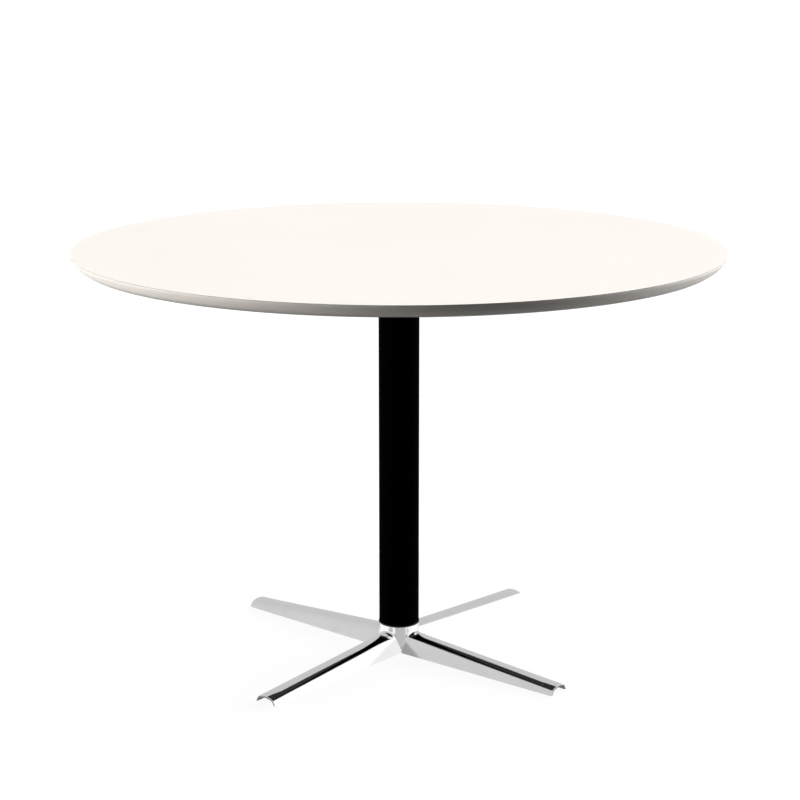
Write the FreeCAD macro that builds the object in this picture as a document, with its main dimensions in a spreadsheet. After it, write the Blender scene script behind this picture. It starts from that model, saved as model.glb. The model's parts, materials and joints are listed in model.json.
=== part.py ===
import FreeCAD, Part
import math
import os
import Sketcher

# A round pedestal table: a bevelled laminate top on a steel spider, a round tube
# column, and a four-legged cast star base that stands on levelling glides.
# Millimetres. The floor is z = 0, +Z is up and the column's axis is the Z axis.

LEGS = 4
LEG_NAMES = ("right_front", "right_back", "left_back", "left_front")
FIRST_LEG_ANGLE = -45.0
LEG_STEP = 360.0 / LEGS
# how close two lengths must be to count as the same
NEAR = 0.02

# name, value, meaning
DRIVING = (
    ("table_height", 720.0, "floor to the top of the table"),
    ("top_diameter", 1100.0, "table top across"),
    ("top_thickness", 21.0, "whole top, both sheets included"),
    ("sheet_thickness", 1.0, "laminate above and below the core"),
    ("lip_height", 3.0, "upright part of the top's edge"),
    ("bevel_inset", 18.0, "how far the undercut edge runs in"),
    ("bevel_bulge", 2.0, "how far the undercut edge swells beyond a straight slope"),
    ("backing_run", 1.7, "how far the backing sheet's sloping edge runs out"),
    ("insert_diameter", 10.0, "threaded insert outside"),
    ("insert_length", 13.0, "threaded insert"),
    ("insert_hole_spare", 1.0, "hole left beyond the insert"),
    ("spider_thickness", 6.0, "steel plate"),
    ("spider_hub_diameter", 150.0, "round middle of the spider"),
    ("spider_arm_reach", 270.0, "axis to the end of an arm"),
    ("spider_arm_root", 54.0, "arm width at the axis"),
    ("spider_arm_tip", 36.0, "arm width at the end"),
    ("screw_inner_radius", 105.0, "axis to the inner screw of an arm"),
    ("screw_outer_radius", 250.0, "axis to the outer screw of an arm"),
    ("screw_diameter", 6.0, "thread of the spider screws"),
    ("screw_clearance", 0.3, "radial play of a screw in the spider"),
    ("screw_reach", 11.0, "screw above the spider"),
    ("screw_head_diameter", 11.0, "pan head"),
    ("screw_head_height", 3.6, "pan head"),
    ("screw_head_round", 1.2, "pan head edge radius"),
    ("screw_socket_flats", 4.0, "hexagon socket across flats"),
    ("screw_socket_depth", 2.2, "hexagon socket"),
    ("washer_diameter", 12.5, "spider screw washer"),
    ("washer_thickness", 1.6, "spider screw washer"),
    ("column_diameter", 70.0, "column tube outside"),
    ("column_wall", 2.0, "column tube wall"),
    ("collar_bore", 54.0, "ring that centres the tube on the spider"),
    ("collar_height", 20.0, "ring that centres the tube on the spider"),
    ("rod_diameter", 12.0, "tie rod thread"),
    ("rod_clearance", 0.5, "radial play of the rod in the hub"),
    ("rod_foot", 6.5, "floor to the lower end of the rod"),
    ("rod_engagement", 22.0, "rod held in the threaded boss"),
    ("rod_boss_diameter", 30.0, "threaded boss under the spider"),
    ("rod_boss_height", 25.0, "threaded boss under the spider"),
    ("rod_chamfer", 1.0, "lead-in at the rod's ends"),
    ("rod_washer_diameter", 44.0, "wide washer under the hub"),
    ("rod_washer_thickness", 3.0, "wide washer under the hub"),
    ("lock_washer_diameter", 21.0, "split spring washer"),
    ("lock_washer_thickness", 2.5, "split spring washer"),
    ("lock_washer_gap", 1.5, "split in the spring washer"),
    ("nut_flats", 18.0, "tie rod nut across flats"),
    ("nut_height", 10.0, "tie rod nut"),
    ("hub_height", 47.5, "floor to the shoulder the column stands on"),
    ("hub_web_height", 26.0, "floor to the underside of the hub's web"),
    ("hub_recess_diameter", 52.0, "hollow under the hub"),
    ("spigot_diameter", 56.0, "hub spigot inside the column"),
    ("spigot_height", 8.0, "hub spigot above the shoulder"),
    ("gasket_height", 2.5, "ring between hub and column"),
    ("gasket_overhang", 1.0, "how far the ring stands out of the column"),
    ("plug_height", 18.0, "ring that centres the tube on the spigot"),
    ("leg_reach", 345.0, "axis to the end of a leg"),
    ("foot_half_root", 28.1, "half the leg's width at the floor, on the axis"),
    ("foot_half_tip", 22.5, "half the leg's width at the floor, at the end"),
    ("shoulder_half_root", 16.7, "half the width between shoulders, on the axis"),
    ("shoulder_half_tip", 17.0, "half the width between shoulders, at the end"),
    ("shoulder_root", 30.1, "shoulder height on the axis"),
    ("shoulder_tip", 10.0, "shoulder height at the end"),
    ("crown_root", 7.3, "crowned top above the shoulders, on the axis"),
    ("crown_tip", 3.8, "crowned top above the shoulders, at the end"),
    ("leg_wall", 3.5, "thickness of the hollow leg"),
    ("foot_wall_share", 1.06, "wall measured sideways at the foot, in leg walls"),
    ("shoulder_wall_share", 0.84, "wall measured sideways at the shoulder, in leg walls"),
    ("shoulder_drop_share", 0.63, "wall measured down at the shoulder, in leg walls"),
    ("hollow_start", 37.0, "axis to the start of a leg's hollow"),
    ("floor_gap", 1.2, "floor to the lower edge of the casting"),
    ("hub_fillet", 5.0, "rounding where a leg's top meets the hub"),
    ("rib_width", 4.0, "rib along the middle of a leg's hollow"),
    ("rib_foot_root", 13.0, "floor to the rib at the hub"),
    ("rib_foot_tip", 9.5, "floor to the rib at the glide boss"),
    ("glide_radius", 300.0, "axis to a glide"),
    ("glide_boss_diameter", 16.0, "boss that holds a glide"),
    ("glide_boss_foot", 5.5, "floor to the underside of that boss"),
    ("glide_boss_top", 15.0, "top of that boss, inside the leg's roof"),
    ("glide_hole_top", 13.6, "end of the threaded hole"),
    ("stud_diameter", 8.0, "glide stud thread"),
    ("stud_top", 13.3, "floor to the end of the stud"),
    ("stud_disc_diameter", 12.0, "disc of the stud that turns in the pad"),
    ("stud_hex_flats", 13.0, "spanner flats of the stud"),
    ("running_clearance", 0.05, "radial play of the stud in hole and pad"),
    ("pad_diameter", 22.0, "glide pad"),
    ("pad_height", 4.0, "glide pad"),
    ("pad_sole", 1.3, "pad below the stud's disc"),
    ("pad_pocket_top", 2.8, "floor to the top of the disc's pocket"),
    ("pad_edge", 1.0, "chamfer round the pad's sole"),
)

# name, formula of the names above
DERIVED = (
    ("top_radius", "top_diameter / 2"),
    ("laminate_underside", "table_height - sheet_thickness"),
    ("lip_underside", "table_height - lip_height"),
    ("top_underside", "table_height - top_thickness"),
    ("core_underside", "top_underside + sheet_thickness"),
    ("underside_radius", "top_radius - bevel_inset"),
    ("core_foot_radius", "underside_radius + backing_run"),
    ("bevel_middle_radius", "(core_foot_radius + top_radius) / 2 + bevel_bulge / sqrt(2)"),
    ("bevel_middle_height", "(core_underside + lip_underside) / 2 - bevel_bulge / sqrt(2)"),
    ("insert_hole_depth", "insert_length - sheet_thickness + insert_hole_spare"),
    ("spider_underside", "top_underside - spider_thickness"),
    ("spider_hole_diameter", "screw_diameter + 2 * screw_clearance"),
    ("spider_arm_start", "spider_arm_reach - spider_arm_tip / 2"),
    ("washer_underside", "spider_underside - washer_thickness"),
    ("screw_foot", "washer_underside - screw_head_height"),
    ("screw_length", "top_underside + screw_reach - screw_foot"),
    ("washer_bore", "screw_diameter + 0.4"),
    ("column_bore", "column_diameter - 2 * column_wall"),
    ("collar_foot", "spider_underside - collar_height"),
    ("rod_boss_foot", "spider_underside - rod_boss_height"),
    ("rod_top", "rod_boss_foot + rod_engagement"),
    ("rod_hole_diameter", "rod_diameter + 2 * rod_clearance"),
    ("rod_washer_foot", "hub_web_height - rod_washer_thickness"),
    ("lock_washer_foot", "rod_washer_foot - lock_washer_thickness"),
    ("nut_foot", "lock_washer_foot - nut_height"),
    ("column_foot", "hub_height + gasket_height"),
    ("gasket_diameter", "column_diameter + 2 * gasket_overhang"),
    ("column_length", "spider_underside - column_foot"),
    ("rod_length", "rod_top - rod_foot"),
    ("spigot_top", "hub_height + spigot_height"),
    ("hollow_share", "hollow_start / leg_reach"),
    ("wall_in_shoulder", "leg_wall * shoulder_wall_share"),
    ("wall_in_foot", "leg_wall * foot_wall_share"),
    ("wall_down_shoulder", "leg_wall * shoulder_drop_share"),
    ("crest_root", "shoulder_root + crown_root"),
    ("crest_tip", "shoulder_tip + crown_tip"),
    ("hollow_foot_root", "foot_half_root + (foot_half_tip - foot_half_root) * hollow_share"
                         " - wall_in_foot"),
    ("hollow_foot_tip", "foot_half_tip - wall_in_foot"),
    ("hollow_shoulder_root", "shoulder_half_root + (shoulder_half_tip - shoulder_half_root) * hollow_share"
                             " - wall_in_shoulder"),
    ("hollow_shoulder_tip", "shoulder_half_tip - wall_in_shoulder"),
    ("hollow_side_root", "shoulder_root + (shoulder_tip - shoulder_root) * hollow_share"
                         " - wall_down_shoulder"),
    ("hollow_side_tip", "shoulder_tip - wall_down_shoulder"),
    ("hollow_crest_root", "crest_root + (crest_tip - crest_root) * hollow_share - leg_wall"),
    ("hollow_crest_tip", "crest_tip - leg_wall"),
    ("rib_head_root", "crest_root + (crest_tip - crest_root) * rib_start / leg_reach"
                      " - leg_wall / 2"),
    ("rib_head_tip", "crest_root + (crest_tip - crest_root) * glide_radius / leg_reach"
                     " - leg_wall / 2"),
    ("glide_hole_diameter", "stud_diameter + 2 * running_clearance"),
    ("stud_disc_foot", "pad_sole + running_clearance"),
    ("stud_disc_top", "pad_pocket_top - running_clearance"),
    ("stud_hex_foot", "pad_height + running_clearance"),
    ("stud_hex_height", "glide_boss_foot - pad_height - 4 * running_clearance"),
    ("stud_radius", "stud_diameter / 2"),
    ("stud_disc_radius", "stud_disc_diameter / 2"),
    ("pad_radius", "pad_diameter / 2"),
    ("pad_sole_radius", "pad_radius - pad_edge"),
    ("pad_pocket_radius", "stud_disc_radius + running_clearance"),
    ("pad_mouth_radius", "stud_radius + running_clearance"),
    ("rib_start", "hollow_start - 1"),
    ("spider_arm_root_half", "spider_arm_root / 2"),
    ("spider_arm_tip_half", "spider_arm_tip / 2"),
    ("lock_washer_gap_half", "lock_washer_gap / 2"),
    ("glide_boss_height", "glide_boss_top - glide_boss_foot"),
    ("glide_hole_depth", "glide_hole_top - glide_boss_foot"),
    ("floor_cut_diameter", "2.2 * leg_reach"),
)

doc = FreeCAD.newDocument("pedestal_table")
sheet = doc.addObject("Spreadsheet::Sheet", "Sizes")


def fill_sheet():
    """Write every driving size as text and every derived size as a formula."""
    row = 1
    for name, value, meaning in DRIVING:
        sheet.set("A%d" % row, meaning)
        sheet.set("B%d" % row, str(value))
        sheet.setAlias("B%d" % row, name)
        row += 1
    for name, formula in DERIVED:
        sheet.set("A%d" % row, name)
        sheet.setAlias("B%d" % row, name)
        row += 1
    row = 1 + len(DRIVING)
    for name, formula in DERIVED:
        sheet.set("B%d" % row, "=" + formula)
        row += 1
    doc.recompute()


def size(name):
    """The present value of a named size, or zero for the name "0"."""
    return 0.0 if name == "0" else float(sheet.get(name))


def new_body(name):
    """An empty body, which may hold separate solids, for one node."""
    body = doc.addObject("PartDesign::Body", name)
    body.Label = name
    body.AllowCompound = True
    return body


def origin_item(body, role):
    """One of a body's own origin planes or axes."""
    for item in body.Origin.OriginFeatures:
        if item.Role == role:
            return item


def new_sketch(body, name, plane="XY_Plane", height=None):
    """A sketch on one of the body's planes, lifted along its normal by a named size."""
    sketch = body.newObject("Sketcher::SketchObject", name)
    sketch.AttachmentSupport = [(origin_item(body, plane), "")]
    sketch.MapMode = "FlatFace"
    if height:
        sketch.setExpression("AttachmentOffset.Base.z", "Sizes." + height)
    return sketch


def bind(sketch, constraint, name):
    """Add a constraint whose value is a named size, with its sign."""
    index = sketch.addConstraint(constraint)
    sign = "-" if name.startswith("-") else ""
    sketch.setExpression("Constraints[%d]" % index, sign + "Sizes." + name.lstrip("-"))


def signed(name):
    """The value of a size name that may carry a minus sign."""
    return -size(name[1:]) if name.startswith("-") else size(name)


def pin_point(sketch, item, end, x, y):
    """Fix one point of a sketch item at two named distances from the origin."""
    for kind, name, axis in (("DistanceX", x, -2), ("DistanceY", y, -1)):
        if name == "0":
            sketch.addConstraint(Sketcher.Constraint("PointOnObject", item, end, axis))
        else:
            value = signed(name)
            bind(sketch, Sketcher.Constraint(kind, -1, 1, item, end, value), name)


def outline(sketch, corners, curved=None, through=None):
    """A closed outline through corners given as pairs of size names. Its sides are straight,
    but one of them may be an arc, anticlockwise through a point of its own."""
    spots = [FreeCAD.Vector(signed(x), signed(y), 0) for x, y in corners]
    count = len(corners)
    for i in range(count):
        following = spots[(i + 1) % count]
        if i == curved:
            middle = FreeCAD.Vector(signed(through[0]), signed(through[1]), 0)
            sketch.addGeometry(Part.Arc(spots[i], middle, following), False)
        else:
            sketch.addGeometry(Part.LineSegment(spots[i], following), False)
    for i in range(count):
        sketch.addConstraint(Sketcher.Constraint("Coincident", i, 2, (i + 1) % count, 1))
    for i in range(count):
        pin_point(sketch, i, 1, *corners[i])
    if through:
        pin_arc(sketch, curved, *through)


def pin_arc(sketch, arc, x, y):
    """Make an arc pass through a point given by two size names."""
    spot = sketch.addGeometry(Part.Point(FreeCAD.Vector(signed(x), signed(y), 0)), True)
    sketch.addConstraint(Sketcher.Constraint("PointOnObject", spot, 1, arc))
    pin_point(sketch, spot, 1, x, y)


def circle(sketch, diameter, x="0"):
    """A circle of a named diameter, centred on the sketch's X axis."""
    centre = FreeCAD.Vector(signed(x), 0, 0)
    round_line = Part.Circle(centre, FreeCAD.Vector(0, 0, 1), size(diameter) / 2)
    item = sketch.addGeometry(round_line, False)
    if x == "0":
        sketch.addConstraint(Sketcher.Constraint("Coincident", item, 3, -1, 1))
    else:
        pin_point(sketch, item, 3, x, "0")
    bind(sketch, Sketcher.Constraint("Diameter", item, size(diameter)), diameter)


def hexagon(sketch, flats, x="0"):
    """A regular hexagon of a named width across flats, centred on the sketch's X axis."""
    across = size(flats) / math.sqrt(3.0)
    centre = FreeCAD.Vector(signed(x), 0, 0)
    spots = []
    for i in range(6):
        angle = math.radians(60.0 * i)
        spots.append(centre + FreeCAD.Vector(across * math.cos(angle), across * math.sin(angle), 0))
    first = len(sketch.Geometry)
    for i in range(6):
        sketch.addGeometry(Part.LineSegment(spots[i], spots[(i + 1) % 6]), False)
    ring = sketch.addGeometry(Part.Circle(centre, FreeCAD.Vector(0, 0, 1), across), True)
    for i in range(6):
        following = first + (i + 1) % 6
        sketch.addConstraint(Sketcher.Constraint("Coincident", first + i, 2, following, 1))
        sketch.addConstraint(Sketcher.Constraint("PointOnObject", first + i, 1, ring))
    for i in range(5):
        sketch.addConstraint(Sketcher.Constraint("Equal", first, first + i + 1))
    if x == "0":
        sketch.addConstraint(Sketcher.Constraint("Coincident", ring, 3, -1, 1))
    else:
        pin_point(sketch, ring, 3, x, "0")
    sketch.addConstraint(Sketcher.Constraint("Horizontal", first + 1))
    index = sketch.addConstraint(Sketcher.Constraint("Radius", ring, across))
    sketch.setExpression("Constraints[%d]" % index, "Sizes.%s / sqrt(3)" % flats)


def pad(body, sketch, length, symmetric=False):
    """Raise a sketch by a named length."""
    feature = body.newObject("PartDesign::Pad", sketch.Name + "_pad")
    feature.Profile = sketch
    feature.Midplane = symmetric
    feature.setExpression("Length", "Sizes." + length)
    body.Tip = feature
    return feature


def pocket_up(body, sketch, depth):
    """Cut a sketch upwards by a named depth."""
    feature = body.newObject("PartDesign::Pocket", sketch.Name + "_pocket")
    feature.Profile = sketch
    feature.Reversed = True
    feature.setExpression("Length", "Sizes." + depth)
    body.Tip = feature
    return feature


def revolve(body, corners, curved=None, through=None):
    """Turn an outline in the XZ plane about the Z axis."""
    sketch = new_sketch(body, body.Name + "_outline", "XZ_Plane")
    outline(sketch, corners, curved, through)
    feature = body.newObject("PartDesign::Revolution", body.Name + "_turned")
    feature.Profile = sketch
    feature.ReferenceAxis = (origin_item(body, "Z_Axis"), [""])
    feature.Angle = 360.0
    body.Tip = feature
    return feature


def repeat(body, feature):
    """Repeat a feature once for each leg, about the Z axis."""
    pattern = body.newObject("PartDesign::PolarPattern", feature.Name + "_ring")
    pattern.Originals = [feature]
    pattern.Axis = (origin_item(body, "Z_Axis"), [""])
    pattern.Angle = 360.0
    pattern.Occurrences = LEGS
    body.Tip = pattern
    return pattern


def turn_to_legs(body, leg=0):
    """Turn a body so that its X axis lies along a leg."""
    turn = FreeCAD.Rotation(FreeCAD.Vector(0, 0, 1), FIRST_LEG_ANGLE + LEG_STEP * leg)
    body.Placement = FreeCAD.Placement(FreeCAD.Vector(), turn)


def ring(name, outer, inner, height, foot=None):
    """A plain ring between two named diameters."""
    body = new_body(name)
    sketch = new_sketch(body, name + "_rings", height=foot)
    circle(sketch, outer)
    circle(sketch, inner)
    pad(body, sketch, height)
    return body


def soften(body, feature, kind, edges, amount):
    """Fillet or chamfer a list of edges of a feature by a named amount."""
    names = ["Edge%d" % (i + 1) for i, edge in enumerate(feature.Shape.Edges) if edges(edge)]
    softened = body.newObject("PartDesign::" + kind, body.Name + "_" + kind.lower())
    softened.Base = (feature, names)
    softened.setExpression("Radius" if kind == "Fillet" else "Size", "Sizes." + amount)
    body.Tip = softened
    return softened


def level_circle(edge, z, radius):
    """Is this edge a full level circle at a height, with a radius?"""
    box = edge.BoundBox
    level = box.ZLength < NEAR and abs(box.ZMin - z) < NEAR
    spans = (box.XLength / 2, box.YLength / 2)
    return level and all(abs(span - radius) < NEAR for span in spans)


# ---- table top ----

def make_top_laminate():
    body = new_body("top_laminate")
    sketch = new_sketch(body, "laminate_circle", height="laminate_underside")
    circle(sketch, "top_diameter")
    pad(body, sketch, "sheet_thickness")


def make_top_core():
    body = new_body("top_core")
    revolve(body, [
        ("0", "core_underside"),
        ("core_foot_radius", "core_underside"),
        ("top_radius", "lip_underside"),
        ("top_radius", "laminate_underside"),
        ("0", "laminate_underside"),
    ], curved=1, through=("bevel_middle_radius", "bevel_middle_height"))
    holes = new_sketch(body, "insert_holes", height="core_underside")
    circle(holes, "insert_diameter", "screw_inner_radius")
    circle(holes, "insert_diameter", "screw_outer_radius")
    repeat(body, pocket_up(body, holes, "insert_hole_depth"))
    turn_to_legs(body)


def make_backing_sheet():
    body = new_body("backing_sheet")
    revolve(body, [
        ("0", "top_underside"),
        ("underside_radius", "top_underside"),
        ("core_foot_radius", "core_underside"),
        ("0", "core_underside"),
    ])
    holes = new_sketch(body, "backing_holes", height="top_underside")
    circle(holes, "insert_diameter", "screw_inner_radius")
    circle(holes, "insert_diameter", "screw_outer_radius")
    repeat(body, pocket_up(body, holes, "sheet_thickness"))
    turn_to_legs(body)


def make_threaded_inserts():
    body = new_body("threaded_inserts")
    sketch = new_sketch(body, "insert_rings", height="top_underside")
    for radius in ("screw_inner_radius", "screw_outer_radius"):
        circle(sketch, "insert_diameter", radius)
        circle(sketch, "screw_diameter", radius)
    repeat(body, pad(body, sketch, "insert_length"))
    turn_to_legs(body)


# ---- spider and its screws ----

def make_top_spider():
    body = new_body("top_spider")
    middle = new_sketch(body, "spider_middle", height="spider_underside")
    circle(middle, "spider_hub_diameter")
    pad(body, middle, "spider_thickness")
    arm = new_sketch(body, "spider_arm", height="spider_underside")
    outline(arm, [
        ("0", "-spider_arm_root_half"),
        ("spider_arm_start", "-spider_arm_tip_half"),
        ("spider_arm_start", "spider_arm_tip_half"),
        ("0", "spider_arm_root_half"),
    ])
    repeat(body, pad(body, arm, "spider_thickness"))
    end = new_sketch(body, "spider_arm_end", height="spider_underside")
    circle(end, "spider_arm_tip", "spider_arm_start")
    repeat(body, pad(body, end, "spider_thickness"))
    holes = new_sketch(body, "spider_holes", height="spider_underside")
    circle(holes, "spider_hole_diameter", "screw_inner_radius")
    circle(holes, "spider_hole_diameter", "screw_outer_radius")
    repeat(body, pocket_up(body, holes, "spider_thickness"))
    turn_to_legs(body)


def make_screw_washers():
    body = new_body("screw_washers")
    sketch = new_sketch(body, "screw_washer_rings", height="washer_underside")
    for radius in ("screw_inner_radius", "screw_outer_radius"):
        circle(sketch, "washer_diameter", radius)
        circle(sketch, "washer_bore", radius)
    repeat(body, pad(body, sketch, "washer_thickness"))
    turn_to_legs(body)


def make_spider_screws():
    body = new_body("spider_screws")
    heads = new_sketch(body, "screw_heads", height="screw_foot")
    shanks = new_sketch(body, "screw_shanks", height="screw_foot")
    sockets = new_sketch(body, "screw_sockets", height="screw_foot")
    for radius in ("screw_inner_radius", "screw_outer_radius"):
        circle(heads, "screw_head_diameter", radius)
        circle(shanks, "screw_diameter", radius)
        hexagon(sockets, "screw_socket_flats", radius)
    repeat(body, pad(body, heads, "screw_head_height"))
    repeat(body, pad(body, shanks, "screw_length"))
    cut = repeat(body, pocket_up(body, sockets, "screw_socket_depth"))
    doc.recompute()
    foot = size("screw_foot")
    rim = size("screw_head_diameter") / 2
    soften(body, cut, "Fillet", lambda edge: level_circle(edge, foot, rim), "screw_head_round")
    turn_to_legs(body)


# ---- column and tie rod ----

def make_tie_rod():
    body = new_body("tie_rod")
    sketch = new_sketch(body, "rod_circle", height="rod_foot")
    circle(sketch, "rod_diameter")
    rod = pad(body, sketch, "rod_length")
    doc.recompute()
    radius = size("rod_diameter") / 2
    ends = (size("rod_foot"), size("rod_top"))

    def at_an_end(edge):
        return any(level_circle(edge, z, radius) for z in ends)

    soften(body, rod, "Chamfer", at_an_end, "rod_chamfer")


def make_rod_nut():
    body = new_body("rod_nut")
    sketch = new_sketch(body, "nut_outline", height="nut_foot")
    hexagon(sketch, "nut_flats")
    circle(sketch, "rod_diameter")
    pad(body, sketch, "nut_height")


def make_lock_washer():
    body = ring("lock_washer", "lock_washer_diameter", "rod_diameter", "lock_washer_thickness",
                "lock_washer_foot")
    split = new_sketch(body, "lock_washer_split", height="lock_washer_foot")
    outline(split, [
        ("0", "-lock_washer_gap_half"),
        ("lock_washer_diameter", "-lock_washer_gap_half"),
        ("lock_washer_diameter", "lock_washer_gap_half"),
        ("0", "lock_washer_gap_half"),
    ])
    pocket_up(body, split, "lock_washer_thickness")


# ---- star base ----

def leg_section(body, name, place, foot, shoulder, side, crest):
    """The leg's cross-section at one place: flat foot, sloping flanks and a crowned top."""
    sketch = new_sketch(body, name, "YZ_Plane", place)
    corners = [("-" + foot, "0"), (foot, "0"), (shoulder, side), ("-" + shoulder, side)]
    spots = [FreeCAD.Vector(signed(x), signed(y), 0) for x, y in corners]
    for i in range(3):
        sketch.addGeometry(Part.LineSegment(spots[i], spots[i + 1]), False)
    arc = Part.Arc(spots[2], FreeCAD.Vector(0, size(crest), 0), spots[3])
    sketch.addGeometry(arc, False)
    sketch.addGeometry(Part.LineSegment(spots[3], spots[0]), False)
    # the third line only carries the arc's ends
    sketch.toggleConstruction(2)
    # an arc runs anticlockwise, so its start is the right-hand shoulder
    meetings = ((0, 2, 1, 1), (1, 2, 2, 1), (3, 1, 2, 1), (3, 2, 2, 2), (4, 1, 2, 2), (4, 2, 0, 1))
    for item, end, other, start in meetings:
        sketch.addConstraint(Sketcher.Constraint("Coincident", item, end, other, start))
    for item, end, corner in ((0, 1, 0), (0, 2, 1), (2, 1, 2), (2, 2, 3)):
        pin_point(sketch, item, end, *corners[corner])
    pin_arc(sketch, 3, "0", crest)
    return sketch


def loft(body, kind, first, last):
    """Join two sections with straight sides, adding or cutting."""
    feature = body.newObject("PartDesign::" + kind, first.Name + "_loft")
    feature.Profile = first
    feature.Sections = [last]
    feature.Ruled = True
    body.Tip = feature
    return feature


def make_legs(body):
    root = leg_section(body, "leg_root", None, "foot_half_root", "shoulder_half_root", "shoulder_root",
                       "crest_root")
    tip = leg_section(body, "leg_tip", "leg_reach", "foot_half_tip", "shoulder_half_tip", "shoulder_tip",
                      "crest_tip")
    repeat(body, loft(body, "AdditiveLoft", root, tip))


def make_leg_hollows(body):
    root = leg_section(body, "hollow_root", "hollow_start", "hollow_foot_root", "hollow_shoulder_root",
                       "hollow_side_root", "hollow_crest_root")
    tip = leg_section(body, "hollow_tip", "leg_reach", "hollow_foot_tip", "hollow_shoulder_tip",
                      "hollow_side_tip", "hollow_crest_tip")
    repeat(body, loft(body, "SubtractiveLoft", root, tip))


def make_leg_ribs(body):
    sketch = new_sketch(body, "leg_rib", "XZ_Plane")
    outline(sketch, [
        ("rib_start", "rib_foot_root"),
        ("glide_radius", "rib_foot_tip"),
        ("glide_radius", "rib_head_tip"),
        ("rib_start", "rib_head_root"),
    ])
    repeat(body, pad(body, sketch, "rib_width", symmetric=True))


def make_glide_bosses(body):
    boss = new_sketch(body, "glide_boss", height="glide_boss_foot")
    circle(boss, "glide_boss_diameter", "glide_radius")
    repeat(body, pad(body, boss, "glide_boss_height"))
    hole = new_sketch(body, "glide_hole", height="glide_boss_foot")
    circle(hole, "glide_hole_diameter", "glide_radius")
    repeat(body, pocket_up(body, hole, "glide_hole_depth"))


def make_hub(body):
    hub = new_sketch(body, "hub")
    circle(hub, "column_diameter")
    pad(body, hub, "hub_height")
    spigot = new_sketch(body, "spigot", height="hub_height")
    circle(spigot, "spigot_diameter")
    pad(body, spigot, "spigot_height")


def hollow_hub(body):
    recess = new_sketch(body, "hub_recess")
    circle(recess, "hub_recess_diameter")
    pocket_up(body, recess, "hub_web_height")
    hole = new_sketch(body, "rod_hole")
    circle(hole, "rod_hole_diameter")
    pocket_up(body, hole, "spigot_top")


def lift_off_floor(body):
    """Cut the casting's lower edge level, a little above the floor."""
    floor = new_sketch(body, "floor_cut")
    circle(floor, "floor_cut_diameter")
    return pocket_up(body, floor, "floor_gap")


def meets_hub(edge):
    """Is this an edge where a leg's crowned top runs into the hub's round side?"""
    radius = size("column_diameter") / 2
    box = edge.BoundBox
    if box.ZMax > size("crest_root") or box.ZMin < size("crest_root") / 2:
        return False
    first, last = edge.ParameterRange
    spots = [edge.valueAt(first + (last - first) * share) for share in (0.1, 0.5, 0.9)]
    return all(abs(math.hypot(spot.x, spot.y) - radius) < NEAR for spot in spots)


def make_star_base():
    body = new_body("star_base")
    make_hub(body)
    make_legs(body)
    cut = lift_off_floor(body)
    doc.recompute()
    soften(body, cut, "Fillet", meets_hub, "hub_fillet")
    make_leg_hollows(body)
    make_leg_ribs(body)
    make_glide_bosses(body)
    hollow_hub(body)
    turn_to_legs(body)


# ---- glides ----

def make_glide_stud(leg):
    body = new_body("glide_stud_" + LEG_NAMES[leg])
    revolve(body, [
        ("0", "stud_disc_foot"),
        ("stud_disc_radius", "stud_disc_foot"),
        ("stud_disc_radius", "stud_disc_top"),
        ("stud_radius", "stud_disc_top"),
        ("stud_radius", "stud_top"),
        ("0", "stud_top"),
    ])
    flats = new_sketch(body, body.Name + "_flats", height="stud_hex_foot")
    hexagon(flats, "stud_hex_flats")
    pad(body, flats, "stud_hex_height")
    place_glide(body, leg)


def make_glide_pad(leg):
    body = new_body("glide_pad_" + LEG_NAMES[leg])
    revolve(body, [
        ("0", "0"),
        ("pad_sole_radius", "0"),
        ("pad_radius", "pad_edge"),
        ("pad_radius", "pad_height"),
        ("pad_mouth_radius", "pad_height"),
        ("pad_mouth_radius", "pad_pocket_top"),
        ("pad_pocket_radius", "pad_pocket_top"),
        ("pad_pocket_radius", "pad_sole"),
        ("0", "pad_sole"),
    ])
    place_glide(body, leg)


def place_glide(body, leg):
    """Stand a glide's part under the end of one leg."""
    angle = math.radians(FIRST_LEG_ANGLE + LEG_STEP * leg)
    reach = size("glide_radius")
    spot = FreeCAD.Vector(reach * math.cos(angle), reach * math.sin(angle), 0)
    body.Placement = FreeCAD.Placement(spot, FreeCAD.Rotation())


def check_and_save():
    """Stop on any failed object, then write one STEP file for each body."""
    os.makedirs("parts", exist_ok=True)
    for item in doc.Objects:
        if "Invalid" in item.State or "Error" in item.State:
            raise RuntimeError("%s failed: %s" % (item.Name, item.State))
    for body in doc.Objects:
        if body.TypeId != "PartDesign::Body":
            continue
        shape = body.Shape
        if shape.isNull() or not shape.isValid() or shape.Volume <= 0:
            raise RuntimeError(body.Label + " has no valid solid")
        shape.exportStep("parts/%s.step" % body.Label)
        print("%-26s %2d solids %12.1f mm3" % (body.Label, len(shape.Solids), shape.Volume))


fill_sheet()
make_top_laminate()
make_top_core()
make_backing_sheet()
make_threaded_inserts()
make_top_spider()
make_screw_washers()
make_spider_screws()
ring("tube_collar", "column_bore", "collar_bore", "collar_height", "collar_foot")
ring("rod_boss", "rod_boss_diameter", "rod_diameter", "rod_boss_height", "rod_boss_foot")
ring("column_tube", "column_diameter", "column_bore", "column_length", "column_foot")
ring("base_plug", "column_bore", "spigot_diameter", "plug_height", "column_foot")
ring("column_gasket", "gasket_diameter", "spigot_diameter", "gasket_height", "hub_height")
ring("rod_washer", "rod_washer_diameter", "rod_diameter", "rod_washer_thickness", "rod_washer_foot")
make_lock_washer()
make_rod_nut()
make_tie_rod()
make_star_base()
for leg in range(LEGS):
    make_glide_stud(leg)
    make_glide_pad(leg)
doc.recompute()
check_and_save()
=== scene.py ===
import json
import math

import bmesh
import bpy
from mathutils import Matrix, Vector


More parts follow.
